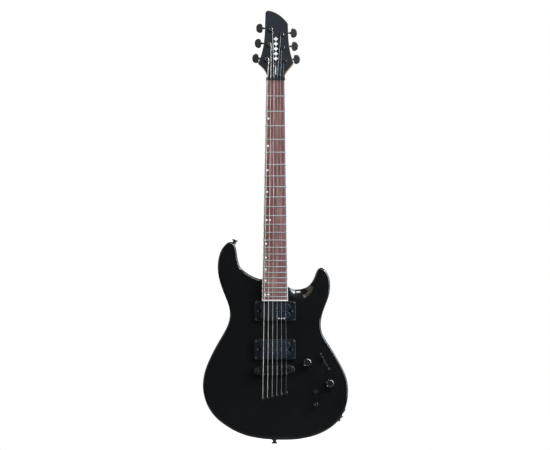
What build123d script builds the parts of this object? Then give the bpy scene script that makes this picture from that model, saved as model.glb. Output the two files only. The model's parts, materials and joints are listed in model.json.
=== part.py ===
"""Solid-body electric guitar, six strings, 24 frets, bolt-on neck, strings through the body.

Millimetres. +X is the treble side seen from the front, the front faces -Y, +Z runs up the neck.
The origin is the seat of the end strap button: on the centre line, at mid-thickness of the body.
"""
from build123d import *
import math
import os

os.makedirs("parts", exist_ok=True)

# ---- driving dimensions -------------------------------------------------------------------------
SCALE_LENGTH = 648.0
FRET_COUNT = 24
BODY_THICKNESS = 40.0
BODY_EDGE_RADIUS = 4.6
FRONT = -BODY_THICKNESS / 2
BACK = BODY_THICKNESS / 2

NUT_Z = 806.7
BOARD_END_Z = 311.0
BOARD_UNDER = FRONT - 4.0
BOARD_THICKNESS = 6.0
BOARD_TOP = BOARD_UNDER - BOARD_THICKNESS
BOARD_RADIUS = 400.0
NUT_HALF_WIDTH = 21.25
END_HALF_WIDTH = 29.0
BINDING = 1.6
END_BINDING = 3.0
FRET_HEIGHT = 1.0
FRET_WIDTH = 2.4
FRET_EASE = 0.85

NUT_THICKNESS = 5.1
HEAD_TILT = 10.0
HEAD_WOOD = 14.0
HEAD_VENEER = 1.0
# The veneer's outline against the wood's, across and up: a thin line of wood shows round it.
VENEER_SHARE = (0.985, 0.997, 1.0)

HEEL_Y = FRONT + 16.0
HEEL_FULL_Z = 372.0
HEEL_TOP_Z = 402.0
TRUSS_ROD_Y = BOARD_UNDER + 6.2
TRUSS_ROD_FOOT = BOARD_END_Z + 27

PICKUP_SIZE = (69.5, 36.5)
RING_SIZE = (93.0, 45.4)
NECK_PICKUP_Z = 288.2
BRIDGE_PICKUP_Z = 202.0

BRIDGE_CENTRE = (-0.75, 156.5)
BRIDGE_SLANT = 3.0
BRIDGE_POST_SPAN = 76.5
SADDLE_TRAVEL = 3.0

STRING_RADII = (0.58, 0.45, 0.33, 0.22, 0.17, 0.13)
NUT_X = (-17.9, -10.7, -3.6, 3.6, 10.8, 18.0)
BRIDGE_X = (-26.0, -15.6, -5.2, 5.2, 15.6, 26.0)
SADDLE_SET = (-1.6, -0.9, 0.2, -0.4, 0.4, 1.2)
NUT_STRING_HEIGHT = 1.45
SADDLE_STRING_HEIGHT = 14.2
FERRULE_FIRST = (-26.8, 91.5)
FERRULE_LAST = (25.5, 104.0)

KNOB_PLACES = {"volume": (73.0, 174.0), "tone": (124.0, 127.0)}
TOGGLE_PLACES = ((91.7, 107.2), (92.0, 78.7))
SELECTOR_ENDS = ((121.0, 159.0), (102.7, 192.4))
JACK_ENDS = ((157.3, 68.2), (144.4, 42.2))
CAVITY_FLOOR = FRONT + 6.0
COVER_THICKNESS = 2.0
COVER_SCREW_SINK = 1.2

POST_RADIUS = 3.0
POST_RISE = 9.0
SHAFT_OFFSET = 7.0
BUTTON_REACH = 26.0
# Post places on the headstock: x from the centre line, and height above the board's end at the nut.
TUNER_PLACES = (
    (-19.3, 45.2), (-13.9, 79.3), (-10.8, 113.4),
    (14.8, 102.8), (17.0, 72.8), (21.5, 43.4),
)

RUNNING = 0.05
HORN_BUTTON = (-92.9, 439.4)
HORN_BUTTON_LEAN = 20.0


# ---- helpers ------------------------------------------------------------------------------------
def slab(sketch, front, back):
    """A sketch drawn in (x, z) made solid from depth front to depth back."""
    return extrude(Plane.XZ.offset(-back) * sketch, back - front)


def rod(x, z, radius, front, back):
    return slab(Pos(x, z) * Circle(radius), front, back)


def bar(start, end, radius):
    """A round bar between two points in space."""
    path = Vector(*end) - Vector(*start)
    plane = Plane(origin=start, z_dir=path)
    return extrude(plane * Circle(radius), path.length)


def fused(pieces):
    whole = pieces[0]
    for piece in pieces[1:]:
        whole = whole + piece
    return whole


def eased(solid, depth, radius):
    """The solid with its edges on the plane at the given depth rounded over."""
    return fillet([edge for edge in solid.edges() if abs(edge.center().Y - depth) < 0.01], radius)


def cut(solid, tools):
    for tool in tools:
        solid = solid - tool
    return solid


def save(name, *solids):
    """One STEP per named piece; separate solids of one node stay separate."""
    loose = []
    for solid in solids:
        loose.extend(solid.solids())
    shape = loose[0] if len(loose) == 1 else Compound(children=loose)
    shape.label = name
    export_step(shape, f"parts/{name}.step")


def fret_z(number):
    return NUT_Z - SCALE_LENGTH * (1 - 2 ** (-number / 12))


def board_half_width(z):
    share = (NUT_Z - z) / (NUT_Z - BOARD_END_Z)
    return NUT_HALF_WIDTH + (END_HALF_WIDTH - NUT_HALF_WIDTH) * share


def crown(radius):
    """The long cylinder that gives the board, and the frets on it, their arched top."""
    length = NUT_Z - BOARD_END_Z + 40
    middle = (NUT_Z + BOARD_END_Z) / 2
    return Pos(0, BOARD_TOP + BOARD_RADIUS, middle) * Cylinder(radius, length)


def tapered(inset, low, high):
    """The board's outline from height low to height high, each side set in by inset."""
    low_half = board_half_width(low) - inset
    high_half = board_half_width(high) - inset
    return Polygon((-low_half, low), (low_half, low), (high_half, high), (-high_half, high), align=None)


# ---- body ---------------------------------------------------------------------------------------
def body_outline():
    left = [
        (-96.5, 442.0), (-104.5, 442.2), (-112.5, 436.0), (-119.5, 427.0), (-125.8, 410.8), (-128.7, 388.0),
        (-124.4, 357.0), (-111.5, 321.0), (-102.0, 293.0), (-101.6, 273.0), (-109.3, 249.0), (-126.8, 218.0),
        (-145.5, 182.0), (-158.0, 148.0), (-160.8, 116.0), (-154.0, 84.0), (-137.5, 55.5), (-109.0, 31.0),
        (-72.0, 12.0), (-33.0, 2.6),
    ]
    right = [
        (8.0, -0.4), (47.0, 0.6), (86.0, 8.2), (120.0, 23.5), (147.5, 48.5), (161.5, 81.0), (164.8, 111.0),
        (159.5, 143.0), (144.8, 173.5), (121.0, 213.5), (105.6, 241.0), (103.2, 265.0), (111.0, 296.0),
        (120.9, 324.0), (123.7, 348.0), (119.2, 370.0), (111.4, 381.6),
    ]
    treble_cutaway = [
        (103.4, 385.8), (96.4, 381.9), (91.0, 371.5), (84.8, 357.0), (75.0, 344.5), (56.0, 337.0),
        (38.0, 338.2), (27.0, 346.0),
    ]
    heel = [(24.0, 362.0), (12.0, 371.5), (-12.0, 373.5), (-22.5, 367.0), (-28.5, 360.4)]
    bass_cutaway = [
        (-41.0, 362.0), (-53.4, 367.3), (-66.7, 375.9), (-77.4, 386.0), (-83.2, 400.0), (-86.3, 419.0),
        (-89.5, 433.5),
    ]
    points = left + right + treble_cutaway + heel + bass_cutaway
    return make_face(Spline(*points, periodic=True))


def control_cavity():
    corners = [
        (57, 158), (59, 191), (92, 207), (117, 200), (137, 170), (147, 140), (150, 106), (142, 78),
        (122, 59), (96, 58), (78, 70), (72, 94), (57, 112),
    ]
    return make_face(FilletPolyline(*corners, radius=7, close=True))


def selector_direction():
    low, high = SELECTOR_ENDS
    return (Vector(high[0], 0, high[1]) - Vector(low[0], 0, low[1])).normalized()


def selector_centre():
    low, high = SELECTOR_ENDS
    return ((low[0] + high[0]) / 2, (low[1] + high[1]) / 2)


def along_selector(length, width):
    """A rectangle centred on the selector, its long side along the slot."""
    direction = selector_direction()
    angle = math.degrees(math.atan2(direction.Z, direction.X))
    return Pos(*selector_centre()) * Rot(0, 0, angle) * Rectangle(length, width)


def jack_plane():
    """Plane on the rim at the jack: x across the body's thickness, y up the rim, z outward."""
    top, bottom = JACK_ENDS
    middle = ((top[0] + bottom[0]) / 2, 0, (top[1] + bottom[1]) / 2)
    along = Vector(top[0] - bottom[0], 0, top[1] - bottom[1]).normalized()
    outward = Vector(along.Z, 0, -along.X)
    return Plane(origin=middle, x_dir=(0, 1, 0), z_dir=outward)


def horn_plane():
    """Plane on the bass horn at its strap button, z outward."""
    lean = math.radians(HORN_BUTTON_LEAN)
    return Plane(
        origin=(HORN_BUTTON[0], 0, HORN_BUTTON[1]),
        x_dir=(0, 1, 0),
        z_dir=(math.sin(lean), 0, math.cos(lean)),
    )


END_PLANE = Plane(origin=(0, 0, 0), x_dir=(0, 1, 0), z_dir=(0, 0, -1))


def ferrule_places():
    places = []
    for index in range(6):
        share = index / 5
        x = FERRULE_FIRST[0] + (FERRULE_LAST[0] - FERRULE_FIRST[0]) * share
        z = FERRULE_FIRST[1] + (FERRULE_LAST[1] - FERRULE_FIRST[1]) * share
        places.append((x, z))
    return places


def bridge_posts():
    slant = math.radians(BRIDGE_SLANT)
    reach = BRIDGE_POST_SPAN / 2
    return [
        (BRIDGE_CENTRE[0] + side * reach * math.cos(slant), BRIDGE_CENTRE[1] + side * reach * math.sin(slant))
        for side in (-1, 1)
    ]


NECK_SCREW_PLACES = ((-17, 321), (17, 321), (-17, 355), (17, 355))


def pickup_cavity(centre_z):
    well = slab(Pos(0, centre_z) * RectangleRounded(75, 40, 4), FRONT - 1, FRONT + 19)
    legs = slab(Pos(0, centre_z) * RectangleRounded(87, 20, 3), FRONT - 1, FRONT + 19)
    return well + legs


def cover_outline(grow):
    return offset(control_cavity(), amount=5.0 + grow)


def make_body():
    body = slab(body_outline(), FRONT, BACK)
    rims = [edge for edge in body.edges() if abs(abs(edge.center().Y) - BACK) < 0.01]
    body = fillet(rims, BODY_EDGE_RADIUS)

    scoop = Pos(57, FRONT - 19.6, 344.6) * Sphere(35)
    neck_pocket = slab(tapered(-RUNNING, BOARD_END_Z, HEEL_TOP_Z), FRONT - 1, HEEL_Y)
    cavity = slab(control_cavity(), CAVITY_FLOOR, BACK + 1)
    cover_seat = slab(cover_outline(0.2), BACK - COVER_THICKNESS, BACK + 1)
    body = cut(body, [scoop, neck_pocket, cavity, cover_seat])
    body = cut(body, [pickup_cavity(NECK_PICKUP_Z), pickup_cavity(BRIDGE_PICKUP_Z)])

    # Wire channels: neck cavity to bridge cavity, bridge cavity to controls, bridge post for the earth wire.
    body = cut(body, [
        bar((20, -6, NECK_PICKUP_Z), (20, -6, BRIDGE_PICKUP_Z), 3),
        bar((30, -6, BRIDGE_PICKUP_Z), (75, -6, 178), 3),
    ])
    for x, z in bridge_posts():
        body = body - rod(x, z, 5.5, FRONT - 1, FRONT + 20)
    for x, z in ferrule_places():
        body = body - rod(x, z, 2.4, FRONT - 1, BACK + 1)
        body = body - rod(x, z, 3.2, FRONT - 1, FRONT + 6)
        body = body - rod(x, z, 4.0, BACK - 8, BACK + 1)
    for x, z in KNOB_PLACES.values():
        body = body - rod(x, z, 4.7, FRONT - 1, CAVITY_FLOOR + 1)
    for x, z in TOGGLE_PLACES:
        body = body - rod(x, z, 3.1, FRONT - 1, CAVITY_FLOOR + 1)
    body = body - slab(along_selector(26, 2.6), FRONT - 1, CAVITY_FLOOR + 1)
    for x, z in SELECTOR_ENDS:
        body = body - rod(x, z, 1.5, FRONT - 1, CAVITY_FLOOR + 1)
    for x, z in NECK_SCREW_PLACES:
        body = body - rod(x, z, 2.3, HEEL_Y - 1, BACK + 1)
        body = body - rod(x, z, 7.0, BACK - 4, BACK + 1)

    # The jack's flat on the rim and its bore into the control cavity.
    rim = jack_plane()
    body = body - extrude(rim.offset(-0.8) * RectangleRounded(24, 33, 4), 8)
    body = body - extrude(rim.offset(-38) * Circle(7.5), 40)
    for side in (-1, 1):
        body = body - extrude(rim.offset(-12) * Pos(0, side * 13) * Circle(1.1), 20)

    # Flats and pilot holes under the strap buttons.
    for seat in (END_PLANE, horn_plane()):
        body = body - extrude(seat * Circle(6.4), 6)
        body = body - extrude(seat.offset(-26) * Circle(1.9), 30)

    # Pilot holes for the ring and cover screws.
    for x, z in ring_screw_places():
        body = body - rod(x, z, 1.1, FRONT - 1, FRONT + 9)
    for x, z in cover_screw_places():
        body = body - rod(x, z, 1.1, BACK - 11, BACK + 1)
    return body


def ring_screw_places():
    return [
        (side_x * 42.5, centre + side_z * 19.0)
        for centre in (NECK_PICKUP_Z, BRIDGE_PICKUP_Z)
        for side_x in (-1, 1)
        for side_z in (-1, 1)
    ]


def cover_screw_places():
    rim = offset(control_cavity(), amount=2.5).wires()[0]
    count = 7
    points = [rim.position_at((index + 0.4) / count) for index in range(count)]
    return [(point.X, point.Y) for point in points]


# ---- neck and headstock -------------------------------------------------------------------------
HEAD = Pos(0, BOARD_UNDER, NUT_Z + NUT_THICKNESS) * Rot(-HEAD_TILT, 0, 0)


def head_height(height):
    """Distance up the tilted face for a height above the board's end at the nut."""
    return (height - NUT_THICKNESS) / math.cos(math.radians(HEAD_TILT))


def head_point(x, height):
    return (x, head_height(height))


def head_outline():
    start_left = head_point(-20.6, 3.0)
    wing_left = head_point(-38.6, 37.6)
    wing_left_top = head_point(-37.9, 41.4)
    top_left = head_point(-23.6, 148.0)
    top = head_point(-17.5, 156.6)
    top_right = head_point(26.4, 128.5)
    side_right = head_point(27.5, 123.0)
    wing_right_top = head_point(39.2, 41.4)
    wing_right = head_point(39.6, 37.4)
    start_right = head_point(20.6, 3.0)
    edges = [
        Spline(start_left, head_point(-20.2, 14), head_point(-26.2, 25.6), wing_left),
        ThreePointArc(wing_left, head_point(-39.2, 39.6), wing_left_top),
        Spline(
            wing_left_top, head_point(-31.6, 59.2), head_point(-27.0, 81), head_point(-24.5, 110), top_left,
        ),
        ThreePointArc(top_left, head_point(-22.0, 154.2), top),
        Spline(top, head_point(-3.5, 152.9), head_point(13.0, 142.6), top_right),
        ThreePointArc(top_right, head_point(27.3, 126.0), side_right),
        Spline(side_right, head_point(28.1, 103), head_point(31.2, 72), wing_right_top),
        ThreePointArc(wing_right_top, head_point(40.1, 39.3), wing_right),
        Spline(wing_right, head_point(29.7, 25.6), head_point(21.4, 13), start_right),
        Line(start_right, start_left),
    ]
    return make_face(Wire(edges))


def neck_section(z, depth):
    half = board_half_width(z)
    behind_board = Pos(0, depth) * Rectangle(2 * half + 2, 2 * depth)
    return Pos(0, BOARD_UNDER, z) * (Ellipse(half, depth) & behind_board)


def heel_block():
    side_view = Polyline(
        (BOARD_UNDER, BOARD_END_Z), (HEEL_Y, BOARD_END_Z), (HEEL_Y, HEEL_FULL_Z),
        (HEEL_Y - 1.2, HEEL_FULL_Z + 8), (HEEL_Y - 4.2, HEEL_FULL_Z + 18), (HEEL_Y - 6.5, HEEL_TOP_Z),
        (BOARD_UNDER, HEEL_TOP_Z), (BOARD_UNDER, BOARD_END_Z),
    )
    profile = Plane.YZ.offset(-35) * make_face(side_view)
    deep = extrude(profile, 70)
    return deep & slab(tapered(0, BOARD_END_Z, HEEL_TOP_Z), BOARD_UNDER, HEEL_Y)


def truss_pocket():
    return HEAD * Pos(0, 0, head_height(22.5)) * Box(9.5, 16, 27)


def tuner_points():
    return [(x, head_height(height)) for x, height in TUNER_PLACES]


def make_neck():
    shaft = loft([neck_section(BOARD_END_Z + 60, 15.5), neck_section(NUT_Z + NUT_THICKNESS, 14.2)])
    head = HEAD * slab(head_outline(), HEAD_VENEER, HEAD_VENEER + HEAD_WOOD)
    # The shaft runs on under the headstock's root and is trimmed to the tilted face.
    before_root = Box(60, 40, 12, align=(Align.CENTER, Align.MIN, Align.MIN))
    head = head - Pos(0, BOARD_UNDER - 40, NUT_Z + NUT_THICKNESS - 30) * before_root
    neck = shaft + heel_block() + head
    channel = bar((0, TRUSS_ROD_Y, TRUSS_ROD_FOOT - 1), (0, TRUSS_ROD_Y, NUT_Z + 22), 3.1)
    neck = cut(neck, [channel, truss_pocket()])
    for x, u in tuner_points():
        neck = neck - HEAD * rod(x, u, 4.0, -3, 20)
        neck = neck - HEAD * rod(tuner_screw_x(x), u, 0.9, HEAD_WOOD - 6, 20)
    for x, u in truss_cover_screws():
        neck = neck - HEAD * rod(x, u, 0.9, -2, 9)
    for x, z in NECK_SCREW_PLACES:
        neck = neck - rod(x, z, 2.0, HEEL_Y - 16, HEEL_Y + 1)
    return neck


def make_headstock_face():
    face = HEAD * slab(scale(head_outline(), by=VENEER_SHARE), 0, HEAD_VENEER)
    clear = Pos(0, 0, NUT_Z + NUT_THICKNESS - 20) * Box(80, 80, 40)
    face = cut(face, [clear, truss_pocket()])
    for x, u in tuner_points():
        face = face - HEAD * rod(x, u, 4.0, -3, 5)
    for x, u in truss_cover_screws():
        face = face - HEAD * rod(x, u, 0.9, -2, 5)
    return face


def make_fretboard():
    wood = slab(tapered(BINDING, BOARD_END_Z + END_BINDING, NUT_Z), BOARD_TOP - 1, BOARD_UNDER)
    wood = wood & crown(BOARD_RADIUS)
    for x, z in dot_places():
        wood = wood - rod(x, z, DOT_RADIUS, BOARD_TOP - 2, BOARD_TOP + DOT_DEPTH)
    return wood


def make_binding():
    whole = slab(tapered(0, BOARD_END_Z, NUT_Z), BOARD_TOP - 1, BOARD_UNDER)
    inner = slab(tapered(BINDING, BOARD_END_Z + END_BINDING, NUT_Z), BOARD_TOP - 2, BOARD_UNDER + 1)
    return (whole & crown(BOARD_RADIUS)) - inner


def make_frets():
    frets = []
    for number in range(1, FRET_COUNT + 1):
        z = fret_z(number)
        width = 2 * (board_half_width(z) - 0.4)
        blank = Pos(0, BOARD_TOP - 1, z) * Box(width, 6, FRET_WIDTH)
        fret = (blank & crown(BOARD_RADIUS + FRET_HEIGHT)) - crown(BOARD_RADIUS)
        top = fret.faces().sort_by(Axis.Y)[0]
        long_edges = [edge for edge in top.edges() if edge.length > width / 2]
        frets.append(fillet(long_edges, FRET_EASE))
    return frets


DOT_RADIUS = 2.3
DOT_DEPTH = 1.5
DOT_FRETS = (3, 5, 7, 9, 12, 15, 17, 19, 21, 24)
DOUBLE_DOT_FRETS = (12, 24)


def dot_places():
    """Inlay dots between frets, near the bass edge of the board."""
    places = []
    for number in DOT_FRETS:
        z = (fret_z(number) + fret_z(number - 1)) / 2
        x = -board_half_width(z) + 6.8
        places.append((x, z))
        if number in DOUBLE_DOT_FRETS:
            places.append((x + 7.4, z))
    return places


def make_dots():
    dots = []
    for x, z in dot_places():
        dots.append(rod(x, z, DOT_RADIUS, BOARD_TOP - 2, BOARD_TOP + DOT_DEPTH) & crown(BOARD_RADIUS))
    return dots


def make_nut():
    middle_z = NUT_Z + NUT_THICKNESS / 2
    block = Pos(0, 0, middle_z) * Box(2 * NUT_HALF_WIDTH, 2 * -BOARD_TOP + 4.4, NUT_THICKNESS)
    block = block & (Pos(0, BOARD_UNDER - 6, middle_z) * Box(60, 12, 10))
    slots = []
    for index in range(6):
        point = string_nut_point(index)
        slots.append(Pos(point.X, point.Y, middle_z) * Cylinder(STRING_RADII[index] + RUNNING, 12))
        slots.append(Pos(point.X, point.Y - 2, middle_z) * Box(2 * STRING_RADII[index] + 0.1, 4, 12))
    return cut(block, slots)


def make_truss_rod():
    adjuster_foot = NUT_Z + 6
    rod_bar = bar((0, TRUSS_ROD_Y, TRUSS_ROD_FOOT), (0, TRUSS_ROD_Y, adjuster_foot), 3.0)
    adjuster = extrude(Plane(origin=(0, TRUSS_ROD_Y, adjuster_foot)) * RegularPolygon(3.0, 6), 9)
    socket = extrude(Plane(origin=(0, TRUSS_ROD_Y, adjuster_foot + 4)) * RegularPolygon(2.0, 6), 6)
    return (rod_bar + adjuster) - socket


def truss_cover_screws():
    return [(0, head_height(36.0)), (-9.4, head_height(10.6)), (9.4, head_height(10.6))]


def make_truss_cover():
    foot = head_height(7.4)
    top = head_height(38.8)
    waist = head_height(24.0)
    shoulder = head_height(14.5)
    edges = [
        Line((-12.4, foot), (12.4, foot)),
        Spline((12.4, foot), (11.6, shoulder), (6.4, waist), (5.2, top)),
        ThreePointArc((5.2, top), (0, top + 1.8), (-5.2, top)),
        Spline((-5.2, top), (-6.4, waist), (-11.6, shoulder), (-12.4, foot)),
    ]
    plate = slab(make_face(Wire(edges)), -1.8, 0)
    plate = chamfer([edge for edge in plate.edges() if edge.center().Y < -1.79], 0.6)
    for x, u in truss_cover_screws():
        plate = plate - rod(x, u, 1.0, -3, 1)
    return HEAD * plate


# ---- tuning machines ----------------------------------------------------------------------------
HOUSING_FRONT = HEAD_VENEER + HEAD_WOOD
HOUSING_BACK = HOUSING_FRONT + 10.0
GEAR_Y = HOUSING_FRONT + 4.6
GEAR_RADIUS = 5.4
GEAR_HALF_DEPTH = 2.2
WORM_RADIUS = 1.4


def outward(x):
    return 1 if x > 0 else -1


def tuner_screw_x(x):
    return x - outward(x) * 10.4


def make_housing(x, u):
    side = outward(x)
    plan = Pos(x + side * 1.5, u + 1.75) * RectangleRounded(19, 18.5, 4)
    shell = eased(slab(plan, HOUSING_FRONT, HOUSING_BACK), HOUSING_BACK, 2.5)
    lug = slab(Pos(tuner_screw_x(x), u) * Circle(3.0), HOUSING_FRONT, HOUSING_FRONT + 2.0)
    collar_start = (x + side * 9.0, GEAR_Y, u + SHAFT_OFFSET)
    collar_end = (x + side * 13.0, GEAR_Y, u + SHAFT_OFFSET)
    housing = shell + lug + bar(collar_start, collar_end, 3.4)
    shaft_end = (x + side * 20, GEAR_Y, u + SHAFT_OFFSET)
    worm_room = bar((x - side * 5, GEAR_Y, u + SHAFT_OFFSET), shaft_end, 1.8 + RUNNING)
    post_room = rod(x, u, POST_RADIUS + RUNNING, HOUSING_FRONT - 1, GEAR_Y)
    gear_room = rod(x, u, GEAR_RADIUS + 0.2, GEAR_Y - GEAR_HALF_DEPTH - 0.2, GEAR_Y + GEAR_HALF_DEPTH + 0.2)
    screw_hole = rod(tuner_screw_x(x), u, 0.9, HOUSING_FRONT - 1, HOUSING_FRONT + 4)
    return HEAD * cut(housing, [worm_room, post_room, gear_room, screw_hole])


def make_bushing(x, u):
    collar = rod(x, u, 5.0, -1.6, 0)
    sleeve = rod(x, u, 4.0, -0.5, HOUSING_FRONT)
    bore = rod(x, u, POST_RADIUS + RUNNING, -3, HOUSING_FRONT + 1)
    return HEAD * ((collar + sleeve) - bore)


def make_post(x, u):
    body = rod(x, u, POST_RADIUS, -POST_RISE, GEAR_Y)
    gear = rod(x, u, GEAR_RADIUS, GEAR_Y - GEAR_HALF_DEPTH, GEAR_Y + GEAR_HALF_DEPTH)
    slot = slab(Pos(x, u) * Rot(0, 0, 60) * Rectangle(8, 1.4), -POST_RISE - 1, -POST_RISE + 3.0)
    return HEAD * ((body + gear) - slot)


def make_key(x, u):
    side = outward(x)
    z = u + SHAFT_OFFSET
    worm = bar((x - side * 4, GEAR_Y, z), (x + side * 6, GEAR_Y, z), WORM_RADIUS)
    shaft = bar((x + side * 6, GEAR_Y, z), (x + side * (BUTTON_REACH - 5), GEAR_Y, z), 1.8)
    collar_start = (x + side * (BUTTON_REACH - 9.6), GEAR_Y, z)
    collar = bar(collar_start, (x + side * (BUTTON_REACH - 5), GEAR_Y, z), 2.6)
    edges = [
        Line((-7.0, -5.0), (-7.0, 5.0)),
        Spline(
            (-7.0, 5.0), (-3.6, 10.1), (3.5, 8.8), (7.4, 0), (3.5, -8.8), (-3.6, -10.1), (-7.0, -5.0),
        ),
    ]
    blade = make_face(Wire(edges))
    blade = fillet(blade.vertices(), 1.5)
    facing = Rot(0, 0, 0) if side > 0 else Rot(0, 0, 180)
    button = slab(Pos(x + side * BUTTON_REACH, z) * facing * blade, GEAR_Y - 3.2, GEAR_Y + 3.2)
    edges = [edge for edge in button.edges() if abs(abs(edge.center().Y - GEAR_Y) - 3.2) < 0.01]
    button = fillet(edges, 1.6)
    return HEAD * fused([worm, shaft, collar, button])


# ---- pickups ------------------------------------------------------------------------------------
RING_OPENING = (71.0, 38.0)
PICKUP_TOP = {"neck": FRONT - 7.6, "bridge": FRONT - 9.6}
RING_TOP = {"neck": FRONT - 4.0, "bridge": FRONT - 6.4}
PICKUP_CENTRE = {"neck": NECK_PICKUP_Z, "bridge": BRIDGE_PICKUP_Z}
BASE_PLATE_BACK = FRONT + 9.0
HEIGHT_SCREW_X = 38.6


def make_bobbin(centre_z, top):
    """A round-ended coil former with eased front edges."""
    length, width = PICKUP_SIZE
    bobbin = slab(Pos(0, centre_z) * SlotOverall(length, width / 2), top, BASE_PLATE_BACK - 1)
    return eased(bobbin, top, 0.9)


def make_ring(which):
    centre = PICKUP_CENTRE[which]
    ring = slab(Pos(0, centre) * RectangleRounded(*RING_SIZE, 5), RING_TOP[which], FRONT)
    ring = eased(ring, RING_TOP[which], 1.2)
    ring = ring - slab(Pos(0, centre) * RectangleRounded(*RING_OPENING, 8), FRONT - 20, FRONT + 1)
    for x, z in ring_screw_places():
        ring = ring - rod(x, z, 1.1, FRONT - 20, FRONT + 1)
    for side in (-1, 1):
        ring = ring - rod(side * HEIGHT_SCREW_X, centre, 1.3, FRONT - 20, FRONT + 1)
    return ring


def pole_places():
    row = PICKUP_SIZE[1] / 4
    return [((place - 2.5) * 10.2, BRIDGE_PICKUP_Z + side * row) for place in range(6) for side in (-1, 1)]


def make_poles():
    top = PICKUP_TOP["bridge"]
    return [eased(rod(x, z, 2.4, top - 0.7, top + 8), top - 0.7, 0.6) for x, z in pole_places()]


def make_pickup(which):
    """Coil formers side by side on a metal base plate with an ear at each end."""
    centre = PICKUP_CENTRE[which]
    top = PICKUP_TOP[which]
    row = PICKUP_SIZE[1] / 4
    coil = make_bobbin(centre - row, top) + make_bobbin(centre + row, top)
    plate = slab(Pos(0, centre) * Rectangle(84, 12), BASE_PLATE_BACK - 1, BASE_PLATE_BACK)
    plate = plate + slab(Pos(0, centre) * Rectangle(66, 36), BASE_PLATE_BACK - 1, BASE_PLATE_BACK)
    for side in (-1, 1):
        plate = plate - rod(side * HEIGHT_SCREW_X, centre, 1.3, FRONT, BASE_PLATE_BACK + 1)
    if which == "bridge":
        coil = cut(coil, [rod(x, z, 2.4, top - 1, top + 8) for x, z in pole_places()])
    return [coil, plate]


# ---- bridge, saddles, strings -------------------------------------------------------------------
BRIDGE_FRAME = Pos(BRIDGE_CENTRE[0], 0, BRIDGE_CENTRE[1]) * Rot(0, -BRIDGE_SLANT, 0)
BASE_FRONT = FRONT - 10.4
BASE_BACK = FRONT - 4.2
TRAY_FLOOR = FRONT - 6.4
SADDLE_LENGTH = 5.6
TRAY_HALF = SADDLE_LENGTH / 2 + SADDLE_TRAVEL + 1.7
SADDLE_SCREW_Y = FRONT - 8.4


def string_y_at_nut(index):
    drop = NUT_X[index] ** 2 / (2 * BOARD_RADIUS)
    return BOARD_TOP - NUT_STRING_HEIGHT + drop


def string_nut_point(index):
    return Vector(NUT_X[index], string_y_at_nut(index), NUT_Z + NUT_THICKNESS + 0.4)


def string_saddle_point(index):
    drop = BRIDGE_X[index] ** 2 / (2 * BOARD_RADIUS)
    rise = (BRIDGE_X[index] - BRIDGE_CENTRE[0]) * math.tan(math.radians(BRIDGE_SLANT))
    z = BRIDGE_CENTRE[1] + rise + SADDLE_SET[index]
    return Vector(BRIDGE_X[index], FRONT - SADDLE_STRING_HEIGHT + drop, z)


def saddle_local(index):
    """The saddle's place in the bridge's own slanted frame: across the strings, and along them."""
    slant = math.radians(BRIDGE_SLANT)
    point = string_saddle_point(index)
    dx = point.X - BRIDGE_CENTRE[0]
    dz = point.Z - BRIDGE_CENTRE[1]
    return (dx * math.cos(slant) + dz * math.sin(slant), dz * math.cos(slant) - dx * math.sin(slant))


def make_bridge_base():
    plan = SlotOverall(BRIDGE_POST_SPAN + 14, 14) + RectangleRounded(70, 2 * TRAY_HALF + 3.4, 3)
    base = eased(slab(plan, BASE_FRONT, BASE_BACK), BASE_FRONT, 0.9)
    base = base - slab(Rectangle(64, 2 * TRAY_HALF), BASE_FRONT - 1, TRAY_FLOOR)
    for side in (-1, 1):
        base = base - rod(side * BRIDGE_POST_SPAN / 2, 0, 3.0 + RUNNING, BASE_FRONT - 1, BASE_BACK + 1)
    for index in range(6):
        x, z = saddle_local(index)
        base = base - bar((x, SADDLE_SCREW_Y, -20), (x, SADDLE_SCREW_Y, TRAY_HALF + 1), 1.2)
    return BRIDGE_FRAME * base


def make_intonation_screws():
    screws = []
    for index in range(6):
        x, z = saddle_local(index)
        wall = -TRAY_HALF - 1.7
        shank = bar((x, SADDLE_SCREW_Y, wall), (x, SADDLE_SCREW_Y, TRAY_HALF + 1), 1.15)
        head = bar((x, SADDLE_SCREW_Y, wall - 1.4), (x, SADDLE_SCREW_Y, wall), 1.9)
        screws.append(BRIDGE_FRAME * (shank + head))
    return screws


def make_saddle(index):
    x, z = saddle_local(index)
    point = string_saddle_point(index)
    half = SADDLE_LENGTH / 2
    crest = point.Y
    foot = TRAY_FLOOR - 0.15
    side_view = Polyline(
        (foot, z - half), (foot, z + half), (crest + 3.0, z + half), (crest - 0.3, z + 0.35),
        (crest - 0.3, z - 0.35), (crest + 3.0, z - half), (foot, z - half),
    )
    wedge = extrude(Plane.YZ.offset(x - 3.6) * make_face(side_view), 7.2)
    screw_hole = bar((x, SADDLE_SCREW_Y, z - 10), (x, SADDLE_SCREW_Y, z + 10), 1.2)
    groove_radius = STRING_RADII[index] + 0.16
    groove = Pos(point.X, crest, point.Z) * Cylinder(groove_radius, 12)
    mouth = Pos(point.X, crest - 2, point.Z) * Box(2 * groove_radius, 4, 12)
    return cut(BRIDGE_FRAME * (wedge - screw_hole), [groove, mouth])


def make_bridge_studs():
    pieces = []
    for x, z in bridge_posts():
        stud = eased(rod(x, z, 3.0, BASE_FRONT - 1.2, FRONT + 16), BASE_FRONT - 1.2, 0.7)
        slot = slab(Pos(x, z) * Rot(0, 0, 35) * Rectangle(8, 1.2), BASE_FRONT - 2, BASE_FRONT - 0.4)
        anchor = rod(x, z, 5.5, FRONT, FRONT + 18) - rod(x, z, 3.0, FRONT - 1, FRONT + 20)
        flange = rod(x, z, 6.6, FRONT - 0.9, FRONT) - rod(x, z, 3.0, FRONT - 2, FRONT + 1)
        wheel = rod(x, z, 8.4, BASE_BACK, BASE_BACK + 2.6) - rod(x, z, 3.0, BASE_BACK - 1, BASE_BACK + 4)
        pieces += [stud - slot, anchor + flange, wheel]
    return pieces


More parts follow.
